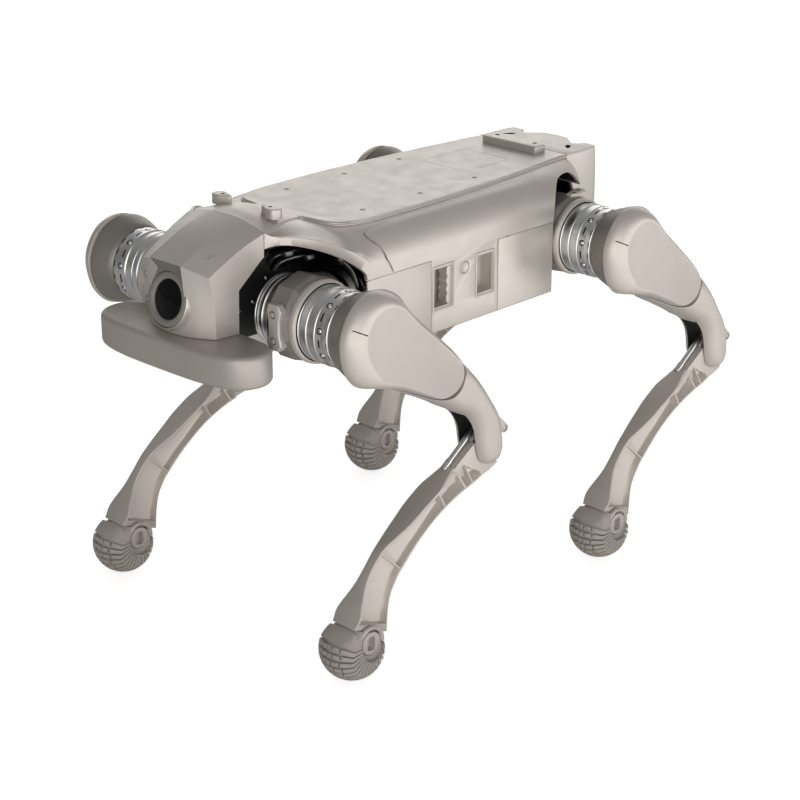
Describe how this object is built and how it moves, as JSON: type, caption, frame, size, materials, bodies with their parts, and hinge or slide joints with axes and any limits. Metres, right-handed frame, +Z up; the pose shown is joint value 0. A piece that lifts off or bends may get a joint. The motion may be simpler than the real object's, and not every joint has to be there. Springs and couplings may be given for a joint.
{
  "type": "quadruped robot",
  "caption": "Four-legged walking robot with a flat payload deck, nose camera, side battery pack and rubber feet on three-joint legs.",
  "frame": {"origin": "on the ground under the middle of the robot's bounding box, as it stands", "axes": "+X towards the robot's head, +Y towards its left, +Z up"},
  "size_m": [0.6332, 0.365, 0.4054],
  "materials": {
    "shell": "satin warm grey paint over moulded shells",
    "cast_limb": "satin warm grey paint over cast limb parts",
    "motor_steel": "turned, lightly polished housings",
    "linkage_steel": "plain machined steel",
    "frame_dark": "dark anodised inner frame and inner motors",
    "foot_rubber": "matt grey rubber with a block tread",
    "lens_glass": "black glossy window",
    "bezel": "matt grey ring",
    "trim": "matt warm grey moulding",
    "board": "circuit board with dark parts and a heat sink"
  },
  "bodies": {
    "trunk": {"chassis_frame": "frame_dark", "main_board": "board", "lower_tray": "shell", "top_cover": "shell", "top_plate": "shell", "head_top": "shell", "head_cover": "shell", "camera_bezel": "bezel", "camera_lens": "lens_glass", "chin_bumper": "shell", "rear_cap": "shell", "rear_rail": "trim", "front_lug_left": "trim", "front_lug_right": "trim", "front_left_roll_motor": "frame_dark", "front_right_roll_motor": "frame_dark", "rear_left_roll_motor": "frame_dark", "rear_right_roll_motor": "frame_dark"},
    "front_left_hip": {"front_left_hip_bracket": "cast_limb", "front_left_hip_motor": "motor_steel"},
    "front_left_thigh": {"front_left_thigh_frame": "cast_limb", "front_left_thigh_cover": "shell", "front_left_knee_motor": "motor_steel"},
    "front_left_crank": {"front_left_knee_crank": "linkage_steel"},
    "front_left_rod": {"front_left_push_rod": "linkage_steel"},
    "front_left_shin": {"front_left_shank": "cast_limb", "front_left_foot": "foot_rubber"},
    "front_right_hip": {"front_right_hip_bracket": "cast_limb", "front_right_hip_motor": "motor_steel"},
    "front_right_thigh": {"front_right_thigh_frame": "cast_limb", "front_right_thigh_cover": "shell", "front_right_knee_motor": "motor_steel"},
    "front_right_crank": {"front_right_knee_crank": "linkage_steel"},
    "front_right_rod": {"front_right_push_rod": "linkage_steel"},
    "front_right_shin": {"front_right_shank": "cast_limb", "front_right_foot": "foot_rubber"},
    "rear_left_hip": {"rear_left_hip_bracket": "cast_limb", "rear_left_hip_motor": "motor_steel"},
    "rear_left_thigh": {"rear_left_thigh_frame": "cast_limb", "rear_left_thigh_cover": "shell", "rear_left_knee_motor": "motor_steel"},
    "rear_left_crank": {"rear_left_knee_crank": "linkage_steel"},
    "rear_left_rod": {"rear_left_push_rod": "linkage_steel"},
    "rear_left_shin": {"rear_left_shank": "cast_limb", "rear_left_foot": "foot_rubber"},
    "rear_right_hip": {"rear_right_hip_bracket": "cast_limb", "rear_right_hip_motor": "motor_steel"},
    "rear_right_thigh": {"rear_right_thigh_frame": "cast_limb", "rear_right_thigh_cover": "shell", "rear_right_knee_motor": "motor_steel"},
    "rear_right_crank": {"rear_right_knee_crank": "linkage_steel"},
    "rear_right_rod": {"rear_right_push_rod": "linkage_steel"},
    "rear_right_shin": {"rear_right_shank": "cast_limb", "rear_right_foot": "foot_rubber"},
    "battery": {"battery_pack": "shell"},
    "latch": {"battery_latch": "trim"},
    "button": {"power_button": "trim"}
  },
  "joints": [
    {"name": "front_left_hip_roll", "type": "hinge", "parent": "trunk", "child": "front_left_hip", "pos_m": [0.2129, 0.062, 0.3172], "axis": [1, 0, 0], "range_deg": [-30, 30]},
    {"name": "front_left_hip_pitch", "type": "hinge", "parent": "front_left_hip", "child": "front_left_thigh", "pos_m": [0.2129, 0.16, 0.3172], "axis": [0, -1, 0], "range_deg": [-79, 63]},
    {"name": "front_left_knee", "type": "hinge", "parent": "front_left_thigh", "child": "front_left_shin", "pos_m": [0.0681, 0.16, 0.176], "axis": [0, 1, 0], "range_deg": [-34, 46]},
    {"name": "front_left_crank_turn", "type": "hinge", "parent": "front_left_thigh", "child": "front_left_crank", "pos_m": [0.2129, 0.16, 0.3172], "axis": [0, 1, 0], "range_deg": [-34, 46]},
    {"name": "front_left_rod_pivot", "type": "hinge", "parent": "front_left_crank", "child": "front_left_rod", "pos_m": [0.1864, 0.1638, 0.3262], "axis": [0, -1, 0], "range_deg": [-34, 46]},
    {"name": "front_right_hip_roll", "type": "hinge", "parent": "trunk", "child": "front_right_hip", "pos_m": [0.2129, -0.062, 0.3172], "axis": [1, 0, 0], "range_deg": [-30, 30]},
    {"name": "front_right_hip_pitch", "type": "hinge", "parent": "front_right_hip", "child": "front_right_thigh", "pos_m": [0.2129, -0.16, 0.3172], "axis": [0, -1, 0], "range_deg": [-79, 63]},
    {"name": "front_right_knee", "type": "hinge", "parent": "front_right_thigh", "child": "front_right_shin", "pos_m": [0.0681, -0.16, 0.176], "axis": [0, 1, 0], "range_deg": [-34, 46]},
    {"name": "front_right_crank_turn", "type": "hinge", "parent": "front_right_thigh", "child": "front_right_crank", "pos_m": [0.2129, -0.16, 0.3172], "axis": [0, 1, 0], "range_deg": [-34, 46]},
    {"name": "front_right_rod_pivot", "type": "hinge", "parent": "front_right_crank", "child": "front_right_rod", "pos_m": [0.1864, -0.1638, 0.3262], "axis": [0, -1, 0], "range_deg": [-34, 46]},
    {"name": "rear_left_hip_roll", "type": "hinge", "parent": "trunk", "child": "rear_left_hip", "pos_m": [-0.1393, 0.062, 0.3172], "axis": [1, 0, 0], "range_deg": [-30, 30]},
    {"name": "rear_left_hip_pitch", "type": "hinge", "parent": "rear_left_hip", "child": "rear_left_thigh", "pos_m": [-0.1393, 0.16, 0.3172], "axis": [0, -1, 0], "range_deg": [-107, 35]},
    {"name": "rear_left_knee", "type": "hinge", "parent": "rear_left_thigh", "child": "rear_left_shin", "pos_m": [-0.2841, 0.16, 0.176], "axis": [0, 1, 0], "range_deg": [-34, 46]},
    {"name": "rear_left_crank_turn", "type": "hinge", "parent": "rear_left_thigh", "child": "rear_left_crank", "pos_m": [-0.1393, 0.16, 0.3172], "axis": [0, 1, 0], "range_deg": [-34, 46]},
    {"name": "rear_left_rod_pivot", "type": "hinge", "parent": "rear_left_crank", "child": "rear_left_rod", "pos_m": [-0.1658, 0.1638, 0.3262], "axis": [0, -1, 0], "range_deg": [-34, 46]},
    {"name": "rear_right_hip_roll", "type": "hinge", "parent": "trunk", "child": "rear_right_hip", "pos_m": [-0.1393, -0.062, 0.3172], "axis": [1, 0, 0], "range_deg": [-30, 30]},
    {"name": "rear_right_hip_pitch", "type": "hinge", "parent": "rear_right_hip", "child": "rear_right_thigh", "pos_m": [-0.1393, -0.16, 0.3172], "axis": [0, -1, 0], "range_deg": [-107, 35]},
    {"name": "rear_right_knee", "type": "hinge", "parent": "rear_right_thigh", "child": "rear_right_shin", "pos_m": [-0.2841, -0.16, 0.176], "axis": [0, 1, 0], "range_deg": [-34, 46]},
    {"name": "rear_right_crank_turn", "type": "hinge", "parent": "rear_right_thigh", "child": "rear_right_crank", "pos_m": [-0.1393, -0.16, 0.3172], "axis": [0, 1, 0], "range_deg": [-34, 46]},
    {"name": "rear_right_rod_pivot", "type": "hinge", "parent": "rear_right_crank", "child": "rear_right_rod", "pos_m": [-0.1658, -0.1638, 0.3262], "axis": [0, -1, 0], "range_deg": [-34, 46]},
    {"name": "battery_slide", "type": "slide", "parent": "trunk", "child": "battery", "axis": [0, 1, 0], "range_m": [0, 0.165]},
    {"name": "latch_slide", "type": "slide", "parent": "battery", "child": "latch", "axis": [1, 0, 0], "range_m": [0, 0.005], "stiffness_N_per_m": 800},
    {"name": "button_press", "type": "slide", "parent": "battery", "child": "button", "axis": [0, -1, 0], "range_m": [0, 0.0015], "stiffness_N_per_m": 1200}
  ],
  "couplings": [
    {"joint": "front_left_crank_turn", "follows": "front_left_knee", "ratio": 1},
    {"joint": "front_left_rod_pivot", "follows": "front_left_knee", "ratio": 1},
    {"joint": "front_right_crank_turn", "follows": "front_right_knee", "ratio": 1},
    {"joint": "front_right_rod_pivot", "follows": "front_right_knee", "ratio": 1},
    {"joint": "rear_left_crank_turn", "follows": "rear_left_knee", "ratio": 1},
    {"joint": "rear_left_rod_pivot", "follows": "rear_left_knee", "ratio": 1},
    {"joint": "rear_right_crank_turn", "follows": "rear_right_knee", "ratio": 1},
    {"joint": "rear_right_rod_pivot", "follows": "rear_right_knee", "ratio": 1}
  ]
}
